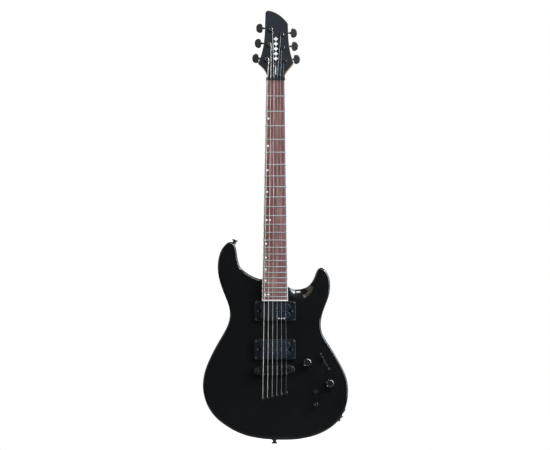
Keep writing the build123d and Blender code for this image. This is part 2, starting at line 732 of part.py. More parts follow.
def make_ferrules():
    pieces = []
    for x, z in ferrule_places():
        front_tube = rod(x, z, 3.2, FRONT, FRONT + 6) - rod(x, z, 2.2, FRONT - 2, FRONT + 7)
        front_lip = eased(rod(x, z, 3.7, FRONT - 0.8, FRONT), FRONT - 0.8, 0.6)
        front_lip = front_lip - rod(x, z, 2.2, FRONT - 2, FRONT + 1)
        cup = rod(x, z, 4.0, BACK - 8, BACK) - rod(x, z, 2.6, BACK - 6, BACK + 1)
        cup = cup - rod(x, z, 1.2, BACK - 9, BACK)
        pieces += [front_tube + front_lip, cup]
    for x, z in NECK_SCREW_PLACES:
        cup = rod(x, z, 7.0, BACK - 4, BACK) - rod(x, z, 4.6, BACK - 2, BACK + 2)
        pieces.append(cup - rod(x, z, 2.3, BACK - 5, BACK))
    return pieces


def tangent_point(start, centre, radius, side):
    """Where a line from start touches the circle, on the given side of it."""
    dx = centre[0] - start[0]
    dz = centre[1] - start[1]
    distance = math.hypot(dx, dz)
    reach = math.sqrt(distance ** 2 - radius ** 2)
    turn = math.asin(radius / distance)
    heading = math.atan2(dz, dx) + side * turn
    return (start[0] + reach * math.cos(heading), start[1] + reach * math.sin(heading))


def string_wrap_y(index):
    """Height of the string where it meets its post, in the headstock's frame."""
    return -6.6 + STRING_RADII[index]


def make_string(index):
    radius = STRING_RADII[index]
    ferrule_x, ferrule_z = ferrule_places()[index]
    saddle = string_saddle_point(index)
    nut = string_nut_point(index)
    post_x, post_u = tuner_points()[index]
    wrap_radius = POST_RADIUS + RUNNING + radius
    nut_local = (nut.X, head_height(NUT_THICKNESS + 0.4))
    side = 1 if post_x > 0 else -1
    touch_x, touch_u = tangent_point(nut_local, (post_x, post_u), wrap_radius, side)
    touch = (HEAD * Pos(touch_x, string_wrap_y(index), touch_u)).position
    path = FilletPolyline(
        (ferrule_x, BACK - 4.4, ferrule_z),
        (ferrule_x, FRONT - 3.6, ferrule_z),
        tuple(saddle),
        tuple(nut),
        tuple(touch),
        radius=[2.6, 5.0, 5.0],
    )
    start = Plane(origin=path.edges()[0] @ 0, z_dir=path.edges()[0] % 0)
    run = sweep(start * Circle(radius), path=path)
    ball = Pos(ferrule_x, BACK - 3.0, ferrule_z) * Sphere(1.9)
    wraps = []
    for turn in range(3):
        y = string_wrap_y(index) + (turn + 1) * (2 * radius + 0.04)
        ring = Pos(post_x, y, post_u) * Rot(90, 0, 0) * Torus(wrap_radius, radius)
        wraps.append(HEAD * ring)
    return [run, ball] + wraps


# ---- controls -----------------------------------------------------------------------------------
KNOB_RADIUS = 9.6
KNOB_EASE = 5.0
KNOB_BACK = FRONT - 1.0
KNOB_FRONT = FRONT - 17.0


def make_knob(x, z):
    knob = eased(rod(x, z, KNOB_RADIUS, KNOB_FRONT, KNOB_BACK), KNOB_FRONT, KNOB_EASE)
    knob = knob - rod(x, z, 7.6, KNOB_BACK - 4, KNOB_BACK + 1)
    shaft = rod(x, z, 3.0, KNOB_BACK - 4.5, CAVITY_FLOOR + 8)
    return knob + shaft


def make_potentiometer(x, z):
    can = rod(x, z, 12.0, CAVITY_FLOOR, CAVITY_FLOOR + 10)
    bushing = rod(x, z, 4.7, FRONT - 3.4, CAVITY_FLOOR)
    nut = slab(Pos(x, z) * RegularPolygon(6.6, 6), FRONT - 2.6, FRONT)
    lugs = slab(Pos(x, z - 15) * Rectangle(16, 7), CAVITY_FLOOR + 1, CAVITY_FLOOR + 2.4)
    bore = rod(x, z, 3.0 + RUNNING, FRONT - 5, CAVITY_FLOOR + 8.4)
    return fused([can, bushing, nut, lugs]) - bore


SELECTOR_PIVOT_Y = FRONT + 22.0
SELECTOR_LEAN = 18.0


def selector_frame(lean):
    """Frame at the selector's pivot: x along the slot, z out of the front, leaned along the slot."""
    x, z = selector_centre()
    direction = selector_direction()
    upright = Plane(origin=(x, SELECTOR_PIVOT_Y, z), x_dir=direction, z_dir=(0, -1, 0))
    return upright.location * Rot(0, lean, 0)


def make_selector_lever():
    frame = selector_frame(SELECTOR_LEAN)
    blade = Box(4.0, 1.3, 29.5, align=(Align.CENTER, Align.CENTER, Align.MIN))
    hub = Rot(90, 0, 0) * Cylinder(3.2, 1.3)
    tip = Pos(0, 0, 25.5) * Cylinder(2.6, 12.5, align=(Align.CENTER, Align.CENTER, Align.MIN))
    tip = fillet(tip.edges().sort_by(Axis.Z)[-1:], 1.6)
    return frame * fused([blade, hub, tip])


def make_selector_switch():
    frame = selector_frame(0)
    depth = SELECTOR_PIVOT_Y - CAVITY_FLOOR
    plate = Pos(0, 0, depth - 0.8) * Box(44, 11, 1.6)
    casing = Pos(0, 0, depth / 2 - 4) * Box(34, 10, depth + 8)
    room = Pos(0, 0, depth / 2 - 1.0) * Box(30, 1.9, depth + 10)
    switch = (plate + casing) - room
    for side in (-1, 1):
        switch = switch - Pos(side * 19.04, 0, depth) * Cylinder(1.3, 10)
    return frame * switch


TOGGLE_LEAN = 12.0
TOGGLE_PIVOT_Y = FRONT - 1.0


def make_toggle_switch(x, z):
    casing = slab(Pos(x, z) * Rectangle(8, 13), CAVITY_FLOOR, CAVITY_FLOOR + 9)
    bushing = rod(x, z, 3.1, FRONT - 3.4, CAVITY_FLOOR)
    ring = eased(rod(x, z, 5.4, FRONT - 2.2, FRONT), FRONT - 2.2, 0.7)
    room = Pos(x, TOGGLE_PIVOT_Y, z) * Sphere(2.3)
    mouth = Pos(x, TOGGLE_PIVOT_Y - 4, z) * Rot(90, 0, 0) * Cone(2.1, 2.85, 5.0)
    return cut(fused([casing, bushing, ring]), [room, mouth])


def make_toggle_bat(x, z):
    stem = Pos(0, 0, 5.5) * Cone(0.8, 1.5, 11.0)
    end = Pos(0, 0, 11.0) * Sphere(1.5)
    ball = Sphere(1.8)
    pivot = Rot(90, 0, 0) * Cylinder(0.9, 3.9)
    upright = Plane(origin=(x, TOGGLE_PIVOT_Y, z), x_dir=(1, 0, 0), z_dir=(0, -1, 0))
    return upright.location * Rot(0, -TOGGLE_LEAN, 0) * fused([ball, pivot, stem, end])


def make_jack_plate():
    rim = jack_plane()
    plate = extrude(rim.offset(-0.8) * RectangleRounded(23, 32, 3.5), 2.2)
    outer_face = plate.faces().sort_by(Axis((0, 0, 0), tuple(rim.z_dir)))[-1]
    plate = fillet(outer_face.edges(), 0.8)
    plate = plate - extrude(rim.offset(-3) * Circle(4.7), 8)
    for side in (-1, 1):
        plate = plate - extrude(rim.offset(-4) * Pos(0, side * 13) * Circle(1.1), 10)
    return plate


def make_jack():
    rim = jack_plane()
    bushing = extrude(rim.offset(-2) * Circle(4.7), 5.6)
    nut = extrude(rim.offset(1.4) * RegularPolygon(7.0, 6), 1.8)
    barrel = extrude(rim.offset(-36) * Circle(6.0), 34)
    bore = extrude(rim.offset(-33) * Circle(3.2), 40)
    return fused([bushing, nut, barrel]) - bore


def make_cover():
    plate = slab(cover_outline(-0.1), BACK - COVER_THICKNESS, BACK)
    for x, z in cover_screw_places():
        plate = plate - rod(x, z, 1.1, BACK - 5, BACK + 1)
        plate = plate - rod(x, z, 2.3, BACK - COVER_SCREW_SINK, BACK + 1)
    return plate


def make_circuit_board():
    board = slab(Pos(121, 103) * Rectangle(38, 48), 6.0, 7.6)
    pillars = [rod(x, z, 2.0, CAVITY_FLOOR, 6.0) for x, z in ((107, 122), (136, 100))]
    chips = [slab(Pos(x, z) * Rectangle(9, 6), 7.6, 9.6) for x, z in ((115, 112), (128, 96), (112, 92))]
    return fused([board] + pillars + chips)


def make_battery():
    case = slab(Pos(76.6, 138) * RectangleRounded(26, 44, 1.5), -3.0, 14.0)
    studs = [bar((76.6 + side * 6.3, 5.5, 116), (76.6 + side * 6.3, 5.5, 113.4), 2.6) for side in (-1, 1)]
    return fused([case] + studs)


# ---- strap buttons and small screws -------------------------------------------------------------
STRAP_SCREW_SEAT = 7.6


def make_strap_button(seat):
    profile = Polyline(
        (0, 0), (6.2, 0), (6.2, 1.2), (3.8, 2.4), (3.8, 5.6), (6.7, 7.0), (6.7, 8.6), (5.4, 9.2),
        (0, 9.2), (0, 0),
    )
    button = revolve(Plane.XZ * make_face(profile), Axis.Z)
    button = button - Pos(0, 0, 5) * Cylinder(2.1, 12)
    screw_seat = Cylinder(3.4, 4, align=(Align.CENTER, Align.CENTER, Align.MIN))
    button = button - Pos(0, 0, STRAP_SCREW_SEAT) * screw_seat
    return seat.location * button


def screw(radius, length, head_radius, head_height):
    """A wood screw along its own +Z, its head's underside at the origin, with a crossed recess."""
    shank = Pos(0, 0, -length / 2) * Cylinder(radius, length)
    head = Cylinder(head_radius, head_height, align=(Align.CENTER, Align.CENTER, Align.MIN))
    top_edge = head.edges().sort_by(Axis.Z)[-1:]
    head = fillet(top_edge, head_height * 0.45)
    cross = Pos(0, 0, head_height) * (Box(head_radius, 0.5, 1.0) + Box(0.5, head_radius, 1.0))
    return (shank + head) - cross


def facing_front(x, y, z):
    return Plane(origin=(x, y, z), x_dir=(1, 0, 0), z_dir=(0, -1, 0)).location


def facing_back(x, y, z):
    return Plane(origin=(x, y, z), x_dir=(1, 0, 0), z_dir=(0, 1, 0)).location


def make_small_screws():
    screws = []
    for x, z in ring_screw_places():
        top = RING_TOP["neck"] if z > 250 else RING_TOP["bridge"]
        length = 8.0 + (FRONT - top)
        screws.append(facing_front(x, top, z) * screw(1.1, length, 2.1, 1.1))
    for x, z in cover_screw_places():
        screws.append(facing_back(x, BACK - COVER_SCREW_SINK, z) * screw(1.1, 8.0, 2.1, 1.1))
    for x, z in SELECTOR_ENDS:
        screws.append(facing_front(x, FRONT, z) * screw(1.2, 7.6, 2.4, 1.2))
    for x, u in truss_cover_screws():
        screws.append(HEAD * facing_front(x, -1.8, u) * screw(0.9, 7.0, 1.7, 1.0))
    for x, u in tuner_points():
        place = HEAD * facing_back(tuner_screw_x(x), HOUSING_FRONT + 2.0, u)
        screws.append(place * screw(0.9, 7.0, 1.8, 1.0))
    for which, centre in PICKUP_CENTRE.items():
        for side in (-1, 1):
            place = facing_front(side * HEIGHT_SCREW_X, RING_TOP[which], centre)
            screws.append(place * screw(1.25, 17.5, 2.1, 1.1))
    rim = jack_plane().offset(1.4).location
    for side in (-1, 1):
        screws.append(rim * Pos(0, side * 13) * screw(1.1, 10.0, 2.1, 1.1))
    for seat in (END_PLANE, horn_plane()):
        screws.append(seat.location * Pos(0, 0, STRAP_SCREW_SEAT) * screw(1.9, 32.0, 3.2, 1.2))
    return screws


def make_neck_screws():
    screws = []
    for x, z in NECK_SCREW_PLACES:
        screws.append(facing_back(x, BACK - 2.0, z) * screw(2.0, 36.0, 4.2, 1.6))
    return screws


# ---- everything ---------------------------------------------------------------------------------
save("body", make_body())
save("neck", make_neck())
save("headstock_face", make_headstock_face())
save("fretboard", make_fretboard())
save("fretboard_binding", make_binding())
save("frets", *make_frets())
save("fret_dots", *make_dots())
save("nut", make_nut())
save("truss_rod", make_truss_rod())
save("truss_rod_cover", make_truss_cover())
save("tuner_housings", *[make_housing(x, u) for x, u in tuner_points()])
save("tuner_bushings", *[make_bushing(x, u) for x, u in tuner_points()])
for number, (post_x, post_u) in enumerate(tuner_points(), start=1):
    save(f"tuner_post_{number}", make_post(post_x, post_u))
    save(f"tuner_key_{number}", make_key(post_x, post_u))
save("pickup_rings", make_ring("neck"), make_ring("bridge"))
save("neck_pickup", *make_pickup("neck"))
save("bridge_pickup", *make_pickup("bridge"))
save("bridge_pickup_poles", *make_poles())
save("bridge_base", make_bridge_base())
save("bridge_studs", *make_bridge_studs())
save("intonation_screws", *make_intonation_screws())
save("ferrules", *make_ferrules())
for number in range(6):
    save(f"saddle_{number + 1}", make_saddle(number))
    save(f"string_{number + 1}", *make_string(number))
save("volume_knob", make_knob(*KNOB_PLACES["volume"]))
save("tone_knob", make_knob(*KNOB_PLACES["tone"]))
save("potentiometers", *[make_potentiometer(x, z) for x, z in KNOB_PLACES.values()])
save("selector_lever", make_selector_lever())
save("selector_switch", make_selector_switch())
save("toggle_switches", *[make_toggle_switch(x, z) for x, z in TOGGLE_PLACES])
save("toggle_bat_1", make_toggle_bat(*TOGGLE_PLACES[0]))
save("toggle_bat_2", make_toggle_bat(*TOGGLE_PLACES[1]))
save("jack_plate", make_jack_plate())
save("output_jack", make_jack())
save("control_cover", make_cover())
save("circuit_board", make_circuit_board())
save("battery", make_battery())
save("strap_buttons", make_strap_button(END_PLANE), make_strap_button(horn_plane()))
save("small_screws", *make_small_screws())
save("neck_screws", *make_neck_screws())
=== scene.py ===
import bmesh
import bpy
import json
import math
from mathutils import Matrix, Vector


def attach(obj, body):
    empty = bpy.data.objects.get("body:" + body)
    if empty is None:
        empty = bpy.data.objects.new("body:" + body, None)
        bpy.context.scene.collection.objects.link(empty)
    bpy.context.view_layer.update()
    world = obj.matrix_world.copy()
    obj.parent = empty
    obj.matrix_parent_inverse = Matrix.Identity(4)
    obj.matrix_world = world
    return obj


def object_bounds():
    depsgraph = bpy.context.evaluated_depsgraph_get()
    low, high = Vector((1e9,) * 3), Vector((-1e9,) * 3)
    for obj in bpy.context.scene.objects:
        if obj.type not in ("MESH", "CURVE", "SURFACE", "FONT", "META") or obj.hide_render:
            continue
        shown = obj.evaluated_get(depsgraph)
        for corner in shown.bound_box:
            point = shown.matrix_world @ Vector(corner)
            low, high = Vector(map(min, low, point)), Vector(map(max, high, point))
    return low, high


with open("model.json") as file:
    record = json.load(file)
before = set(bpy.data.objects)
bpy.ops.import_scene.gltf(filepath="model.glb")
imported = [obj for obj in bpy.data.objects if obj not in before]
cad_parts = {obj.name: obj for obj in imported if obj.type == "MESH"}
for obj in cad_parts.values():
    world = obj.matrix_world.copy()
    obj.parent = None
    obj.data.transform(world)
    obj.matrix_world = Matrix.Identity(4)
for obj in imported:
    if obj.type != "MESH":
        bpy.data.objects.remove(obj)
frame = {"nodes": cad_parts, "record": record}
cad_low, cad_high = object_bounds()
NODES = frame["nodes"]
MM = 0.001
WELD_DISTANCE = 2e-6
SHARP_DEGREES = 32

# ---- camera, light, floor (metres) --------------------------------------------------------------
SENSOR_WIDTH = 36.0
VIEW_WIDTH = 1.2332
VIEW_CENTRE = Vector((-0.0004, -0.02, 0.4814))
CAMERA_DISTANCE = 12.0
CAMERA_ROLL = math.radians(0.175)
FLOOR_RADIUS = 0.4
FLOOR_GAP = 0.002
WHITE = (1, 1, 1)
BODY_MIDDLE = (0, 0, 0.45)
# Each light: name, place, target, size, watts, colour.
LIGHTS = [
    ("key_right", (3.3, -1.5, 3.3), BODY_MIDDLE, (0.8, 0.8), 115, (0.94, 0.97, 1.0)),
    ("side_right", (3.3, -0.9, 1.1), BODY_MIDDLE, (1.0, 3.0), 130, (0.80, 0.90, 1.0)),
    ("near_right", (1.1, -0.85, 1.0), (0, 0, 0.5), (0.2, 0.5), 7, (0.62, 0.82, 1.0)),
    ("front_high", (1.2, -3.0, 3.4), BODY_MIDDLE, (2.2, 0.7), 105, WHITE),
    ("front_left", (-3.4, -2.4, 1.2), BODY_MIDDLE, (2.0, 2.4), 16, WHITE),
    ("top_soft", (-1.1, -0.2, 3.1), BODY_MIDDLE, (1.4, 0.7), 10, WHITE),
    ("back_left", (-2.4, 3.4, 1.6), BODY_MIDDLE, (2.8, 2.8), 45, WHITE),
    ("back_right", (2.6, 3.6, 2.6), BODY_MIDDLE, (2.8, 2.4), 45, WHITE),
]


def make_camera():
    data = bpy.data.cameras.new("camera")
    data.sensor_width = SENSOR_WIDTH
    data.lens = SENSOR_WIDTH * CAMERA_DISTANCE / VIEW_WIDTH
    camera = bpy.data.objects.new("camera", data)
    bpy.context.scene.collection.objects.link(camera)
    facing = Matrix.Rotation(math.radians(90), 4, "X") @ Matrix.Rotation(CAMERA_ROLL, 4, "Z")
    place = Matrix.Translation(VIEW_CENTRE + Vector((0, -CAMERA_DISTANCE, 0)))
    camera.matrix_world = place @ facing
    bpy.context.scene.camera = camera


def area_light(name, place, target, size, watts, colour):
    data = bpy.data.lights.new(name, "AREA")
    data.shape = "RECTANGLE"
    data.size, data.size_y = size
    data.energy = watts
    data.color = colour
    light = bpy.data.objects.new(name, data)
    light.location = place
    light.rotation_mode = "QUATERNION"
    light.rotation_quaternion = (Vector(target) - Vector(place)).to_track_quat("-Z", "Y")
    bpy.context.scene.collection.objects.link(light)


def make_world():
    """White to the camera, with only a faint fill for everything else."""
    world = bpy.data.worlds.new("studio")
    bpy.context.scene.world = world
    world.use_nodes = True
    nodes, links = world.node_tree.nodes, world.node_tree.links
    nodes.clear()
    seen = nodes.new("ShaderNodeBackground")
    seen.inputs["Color"].default_value = (1, 1, 1, 1)
    seen.inputs["Strength"].default_value = 1.0
    fill = nodes.new("ShaderNodeBackground")
    fill.inputs["Color"].default_value = (0.93, 0.97, 1.0, 1)
    fill.inputs["Strength"].default_value = 0.03
    rays = nodes.new("ShaderNodeLightPath")
    mix = nodes.new("ShaderNodeMixShader")
    out = nodes.new("ShaderNodeOutputWorld")
    links.new(rays.outputs["Is Camera Ray"], mix.inputs["Fac"])
    links.new(fill.outputs["Background"], mix.inputs[1])
    links.new(seen.outputs["Background"], mix.inputs[2])
    links.new(mix.outputs["Shader"], out.inputs["Surface"])


def make_floor():
    place = (0, 0, cad_low.z - FLOOR_GAP)
    bpy.ops.mesh.primitive_circle_add(vertices=128, radius=FLOOR_RADIUS, fill_type="NGON", location=place)
    floor = bpy.context.object
    floor.name = "floor"
    material = bpy.data.materials.new("floor_pale")
    material.use_nodes = True
    nodes, links = material.node_tree.nodes, material.node_tree.links
    shader = nodes["Principled BSDF"]
    shader.inputs["Base Color"].default_value = (0.25, 0.25, 0.25, 1)
    shader.inputs["Roughness"].default_value = 0.9
    shader.inputs["Specular IOR Level"].default_value = 0.1
    shader.inputs["Emission Color"].default_value = (1, 1, 1, 1)
    # White to the eye, yet throwing little light back up on to the body.
    rays = nodes.new("ShaderNodeLightPath")
    links.new(rays.outputs["Is Camera Ray"], shader.inputs["Emission Strength"])
    floor.data.materials.append(material)


def make_lights():
    for light in LIGHTS:
        area_light(*light)


# ---- materials ----------------------------------------------------------------------------------
# A wave texture of scale 1 repeats after this length.
WAVE_PERIOD = 0.314


class Paint:
    """One node material: a Principled shader with helpers that add procedural detail."""

    def __init__(
        self, name, colour, roughness, metallic=0.0, coat=0.0, coat_roughness=0.05, specular=0.5,
    ):
        self.material = bpy.data.materials.new(name)
        self.material.use_nodes = True
        self.nodes = self.material.node_tree.nodes
        self.links = self.material.node_tree.links
        self.shader = self.nodes["Principled BSDF"]
        self.shader.inputs["Base Color"].default_value = (*colour, 1)
        self.shader.inputs["Roughness"].default_value = roughness
        self.shader.inputs["Metallic"].default_value = metallic
        self.shader.inputs["Coat Weight"].default_value = coat
        self.shader.inputs["Coat Roughness"].default_value = coat_roughness
        self.shader.inputs["Specular IOR Level"].default_value = specular

    def place(self, scale=(1, 1, 1)):
        where = self.nodes.new("ShaderNodeTexCoord")
        mapping = self.nodes.new("ShaderNodeMapping")
        mapping.inputs["Scale"].default_value = scale
        self.links.new(where.outputs["Object"], mapping.inputs["Vector"])
        return mapping.outputs["Vector"]

    def noise(self, size_mm, stretch=(1, 1, 1), detail=4.0, roughness=0.55, distortion=0.0):
        texture = self.nodes.new("ShaderNodeTexNoise")
        texture.inputs["Scale"].default_value = 1.0 / (size_mm * MM)
        texture.inputs["Detail"].default_value = detail
        texture.inputs["Roughness"].default_value = roughness
        texture.inputs["Distortion"].default_value = distortion
        self.links.new(self.place(stretch), texture.inputs["Vector"])
        return texture.outputs["Fac"]

    def bands(self, spacing_mm, distortion=0.0, detail=2.0):
        texture = self.nodes.new("ShaderNodeTexWave")
        texture.wave_type = "BANDS"
        texture.bands_direction = "Z"
        texture.inputs["Scale"].default_value = WAVE_PERIOD / (spacing_mm * MM)
        texture.inputs["Distortion"].default_value = distortion
        texture.inputs["Detail"].default_value = detail
        self.links.new(self.place(), texture.inputs["Vector"])
        return texture.outputs["Fac"]

    def ramp(self, value, stops):
        ramp = self.nodes.new("ShaderNodeValToRGB")
        elements = ramp.color_ramp.elements
        while len(elements) < len(stops):
            elements.new(0.5)
        for element, (where, colour) in zip(elements, stops):
            element.position = where
            element.color = (*colour, 1)
        self.links.new(value, ramp.inputs["Fac"])
        return ramp.outputs["Color"]

    def spread(self, value, low, high, start=0.3, end=0.7):
        reach = self.nodes.new("ShaderNodeMapRange")
        reach.inputs["From Min"].default_value = start
        reach.inputs["From Max"].default_value = end
        reach.inputs["To Min"].default_value = low
        reach.inputs["To Max"].default_value = high
        self.links.new(value, reach.inputs["Value"])
        return reach.outputs["Result"]

    def mix(self, share, first, second):
        mix = self.nodes.new("ShaderNodeMix")
        mix.data_type = "RGBA"
        self.links.new(share, mix.inputs["Factor"])
        self.links.new(first, mix.inputs["A"])
        mix.inputs["B"].default_value = (*second, 1)
        return [out for out in mix.outputs if out.type == "RGBA"][0]

    def colour(self, socket):
        self.links.new(socket, self.shader.inputs["Base Color"])
        return self

    def rough(self, socket):
        self.links.new(socket, self.shader.inputs["Roughness"])
        return self

    def bump(self, socket, depth_mm, strength=0.6):
        bump = self.nodes.new("ShaderNodeBump")
        bump.inputs["Distance"].default_value = depth_mm * MM
        bump.inputs["Strength"].default_value = strength
        self.links.new(socket, bump.inputs["Height"])
        self.links.new(bump.outputs["Normal"], self.shader.inputs["Normal"])
        return self


def lacquer():
    paint = Paint(
        "body_lacquer", (0.003, 0.0033, 0.0036), 0.4, coat=1.0, coat_roughness=0.04, specular=0.17,
    )
    cloud = paint.noise(60, detail=3)
    hairline = paint.noise(5, stretch=(1, 1, 0.12), detail=6, roughness=0.7)
    paint.colour(paint.ramp(cloud, [
        (0.3, (0.0024, 0.0028, 0.0030)), (0.7, (0.0036, 0.0041, 0.0044)),
    ]))
    paint.rough(paint.spread(hairline, 0.36, 0.48))
    return paint.bump(paint.noise(18, detail=2), 0.02, 0.25).material


def satin_black():
    paint = Paint("headstock_black", (0.012, 0.016, 0.020), 0.42, specular=0.2)
    grain = paint.noise(2.2, stretch=(1, 1, 0.05), detail=5)
    cloud = paint.noise(30)
    paint.colour(paint.ramp(cloud, [(0.3, (0.007, 0.0110, 0.0150)), (0.7, (0.010, 0.0150, 0.0200))]))
    paint.rough(paint.spread(cloud, 0.44, 0.56))
    return paint.bump(grain, 0.03, 0.3).material


def maple():
    paint = Paint("neck_wood", (0.56, 0.36, 0.19), 0.45, coat=0.25, coat_roughness=0.3)
    grain = paint.noise(7, stretch=(1, 1, 0.05), detail=6, distortion=0.8)
    fine = paint.noise(0.9, stretch=(1, 1, 0.03), detail=4)
    figure = paint.bands(11, distortion=4.0, detail=3)
    base = paint.ramp(grain, [
        (0.25, (0.46, 0.27, 0.125)), (0.5, (0.60, 0.39, 0.205)), (0.75, (0.67, 0.46, 0.27)),
    ])
    base = paint.mix(paint.spread(fine, 0.0, 0.35, 0.45, 0.75), base, (0.36, 0.20, 0.09))
    base = paint.mix(paint.spread(figure, 0.0, 0.10), base, (0.78, 0.60, 0.38))
    paint.colour(base)
    paint.rough(paint.spread(fine, 0.4, 0.52))
    return paint.bump(fine, 0.03, 0.3).material


def rosewood():
    paint = Paint("fretboard_wood", (0.17, 0.08, 0.065), 0.5, specular=0.25)
    grain = paint.noise(4.5, stretch=(1, 0.6, 0.035), detail=7, distortion=1.2)
    streak = paint.noise(13, stretch=(1, 1, 0.03), detail=4, distortion=0.6)
    pores = paint.noise(0.7, stretch=(1, 1, 0.02), detail=3)
    base = paint.ramp(grain, [
        (0.26, (0.065, 0.022, 0.019)), (0.42, (0.175, 0.070, 0.062)), (0.56, (0.32, 0.150, 0.135)),
        (0.74, (0.50, 0.30, 0.28)),
    ])
    base = paint.mix(paint.spread(streak, 0.0, 0.55), base, (0.15, 0.060, 0.055))
    base = paint.mix(paint.spread(pores, 0.0, 0.8, 0.56, 0.72), base, (0.045, 0.020, 0.018))
    paint.colour(base)
    paint.rough(paint.spread(pores, 0.42, 0.6))
    return paint.bump(pores, 0.06, 0.5).material


def plain(
    name, colour, roughness, metallic=0.0, coat=0.0, specular=0.5, wear=0.12, speck_mm=0.8, bump=0.012,
):
    """A moulded, plated or painted finish with cloudy tone, fine specks and a little handling wear."""
    paint = Paint(name, colour, roughness, metallic, coat, 0.08, specular)
    cloud = paint.noise(14, detail=4)
    speck = paint.noise(speck_mm, detail=3)
    dark = tuple(channel * (1 - wear) for channel in colour)
    light = tuple(min(1.0, channel * (1 + wear)) for channel in colour)
    paint.colour(paint.ramp(cloud, [(0.3, dark), (0.7, light)]))
    paint.rough(paint.spread(speck, max(0.02, roughness * 0.82), min(1.0, roughness * 1.22)))
    return paint.bump(speck, bump, 0.35).material


def brushed(name, colour, roughness, along=(1, 1, 0.05), line_mm=0.5, metallic=1.0):
    paint = Paint(name, colour, roughness, metallic)
    line = paint.noise(line_mm, stretch=along, detail=4)
    cloud = paint.noise(20)
    dark = tuple(channel * 0.8 for channel in colour)
    paint.colour(paint.ramp(cloud, [(0.3, dark), (0.7, colour)]))
    paint.rough(paint.spread(line, roughness * 0.75, roughness * 1.3))
    return paint.bump(line, 0.01, 0.3).material


def wound():
    paint = Paint("wound_string", (0.60, 0.56, 0.50), 0.35, metallic=0.6)
    turns = paint.bands(0.42, detail=0.0)
    age = paint.noise(24, stretch=(1, 1, 0.4))
    paint.colour(paint.ramp(age, [(0.3, (0.68, 0.62, 0.54)), (0.7, (0.86, 0.80, 0.72))]))
    paint.rough(paint.spread(age, 0.3, 0.45))
    return paint.bump(turns, 0.08, 0.8).material


# One finish for each of the record's material slots, and one for the added pale strips that paint a
# highlight along the selector's slot.
MATERIALS = {
    "body_lacquer": lacquer(),
    "neck_wood": maple(),
    "headstock_black": satin_black(),
    "fretboard_wood": rosewood(),
    "binding_cream": plain("binding_cream", (0.86, 0.84, 0.81), 0.4, wear=0.06),
    "fret_metal": brushed("fret_metal", (0.50, 0.55, 0.53), 0.34, along=(0.05, 1, 1), metallic=0.45),
    "dot_white": plain("dot_white", (0.97, 0.97, 0.96), 0.3, coat=0.3, wear=0.03),
    "nut_black": plain("nut_black", (0.018, 0.019, 0.021), 0.4),
    "steel": brushed("steel", (0.45, 0.45, 0.46), 0.32),
    "black_plastic": plain("black_plastic", (0.008, 0.0105, 0.013), 0.36, specular=0.35),
    "black_hardware": plain(
        "black_hardware", (0.013, 0.014, 0.016), 0.24, coat=0.7, specular=0.7, speck_mm=0.4,
    ),
    "black_screws": plain("black_screws", (0.12, 0.12, 0.125), 0.3, metallic=0.7, speck_mm=0.3),
    "pickup_black": plain("pickup_black", (0.013, 0.019, 0.027), 0.24, specular=0.6),
    "pole_metal": brushed("pole_metal", (0.05, 0.052, 0.055), 0.22, along=(1, 1, 1)),
    "knob_black": plain("knob_black", (0.011, 0.012, 0.014), 0.16, coat=0.8, specular=0.7, speck_mm=0.4),
    "lever_black": plain("lever_black", (0.012, 0.013, 0.015), 0.25, coat=0.3),
    "cover_black": plain("cover_black", (0.014, 0.014, 0.015), 0.55, wear=0.2, speck_mm=0.6, bump=0.05),
    # Pale metal for the strips that paint the selector slot's edge highlight.
    "painted_slot_highlight": brushed("painted_slot_highlight", (0.34, 0.36, 0.38), 0.3, metallic=0.6),
    "board_green": plain("board_green", (0.02, 0.12, 0.05), 0.4),
    "battery_case": plain("battery_case", (0.03, 0.03, 0.035), 0.35, coat=0.3),
    "wound_string": wound(),
    "plain_string": brushed("plain_string", (0.66, 0.66, 0.70), 0.35, metallic=0.35),
}


def dress_cad_nodes():
    """Gives every CAD node its finish and joins its faces so that rounded edges shade smoothly."""
    slots = {entry["node"]: entry["material_slot"] for entry in frame["record"]["subparts"]}
    for name, node in NODES.items():
        node.data.materials.clear()
        node.data.materials.append(MATERIALS[slots[name]])
        weld = node.modifiers.new("weld", "WELD")
        weld.merge_threshold = WELD_DISTANCE
        for face in node.data.polygons:
            face.use_smooth = True
        split = node.modifiers.new("split", "EDGE_SPLIT")
        split.split_angle = math.radians(SHARP_DEGREES)
        normals = node.modifiers.new("normals", "WEIGHTED_NORMAL")
        normals.keep_sharp = True


# ---- added details (millimetres) ----------------------------------------------------------------
# The headstock's own frame starts where its face meets the nut and leans back with it.
HEAD_START = (0, -24, 811.8)
HEAD_TILT = 10
HEAD = Matrix.Translation([value * MM for value in HEAD_START]) @ Matrix.Rotation(
    math.radians(-HEAD_TILT), 4, "X",
)
FLAT = Matrix.Identity(4)

LOZENGE_COUNT = 5
LOZENGE_X = 0.3
LOZENGE_START = 43.4
LOZENGE_PITCH = 11.3
LOZENGE_HALF_SIZE = (5.4, 5.3)
LOZENGE_WAIST = 0.10
INLAY_PROUD = 0.12

STRIPE_PLACE = (0, 16.4)
STRIPE_HALF_SIZE = (0.9, 11.6)
STRIPE_BULGE = 0.25
COVER_FACE = -1.8

BODY_FACE = -20.0
SELECTOR_ENDS = ((121.0, 159.0), (102.7, 192.4))
# Pale strips beside the selector's slot paint the highlight of its edge: offset, half length, half width
# and lift.
SLOT_HIGHLIGHT_OFFSET = 1.45
SLOT_HIGHLIGHT_HALF_LENGTH = 12.6
SLOT_HIGHLIGHT_HALF_WIDTH = 0.2
SLOT_HIGHLIGHT_PROUD = 0.05

PICKUP_FACE = -27.6
PICKUP_DOT_XS = (9.0, 15.0, 21.0)
PICKUP_DOT_Z = 272.2
PICKUP_DOT_RADIUS = 1.5
PICKUP_DOT_PROUD = 0.1

KNOBS = {"volume_control": (73.0, 174.0), "tone_control": (124.0, 127.0)}
KNOB_FACE = -37.0
KNOB_RADIUS = 9.6
KNOB_EASE = 5.0
